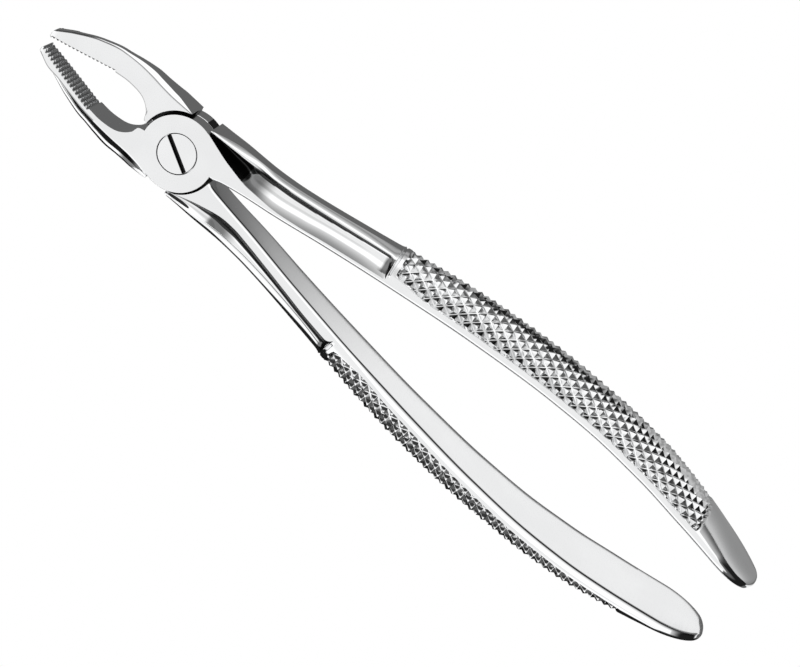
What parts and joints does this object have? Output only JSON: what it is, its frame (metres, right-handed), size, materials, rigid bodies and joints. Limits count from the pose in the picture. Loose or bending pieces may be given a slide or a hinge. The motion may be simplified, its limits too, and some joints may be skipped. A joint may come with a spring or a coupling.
{
  "type": "extraction forceps",
  "caption": "Plier-like dental forceps: two crossed polished levers on a slotted pivot screw, toothed tapering beaks, fluted necks and bowed diamond-knurled grips.",
  "frame": {"origin": "where the hinge axis meets the back face of the joint, on the flush end of the pivot screw", "axes": "+X along the tool's centre line towards the beak tips, +Z along the hinge axis towards the slotted screw head"},
  "size_m": [0.1752, 0.038, 0.0186],
  "materials": {
    "polished_steel": "mirror-polished stainless steel",
    "screw_steel": "finely ground and polished stainless steel"
  },
  "bodies": {
    "rear": {"rear_lever": "polished_steel", "pivot_screw": "screw_steel"},
    "front": {"front_lever": "polished_steel"}
  },
  "joints": [
    {"name": "lever_hinge", "type": "hinge", "parent": "rear", "child": "front", "pos_m": [0, 0, 0.0038], "axis": [0, 0, 1], "range_deg": [-4, 30]}
  ]
}
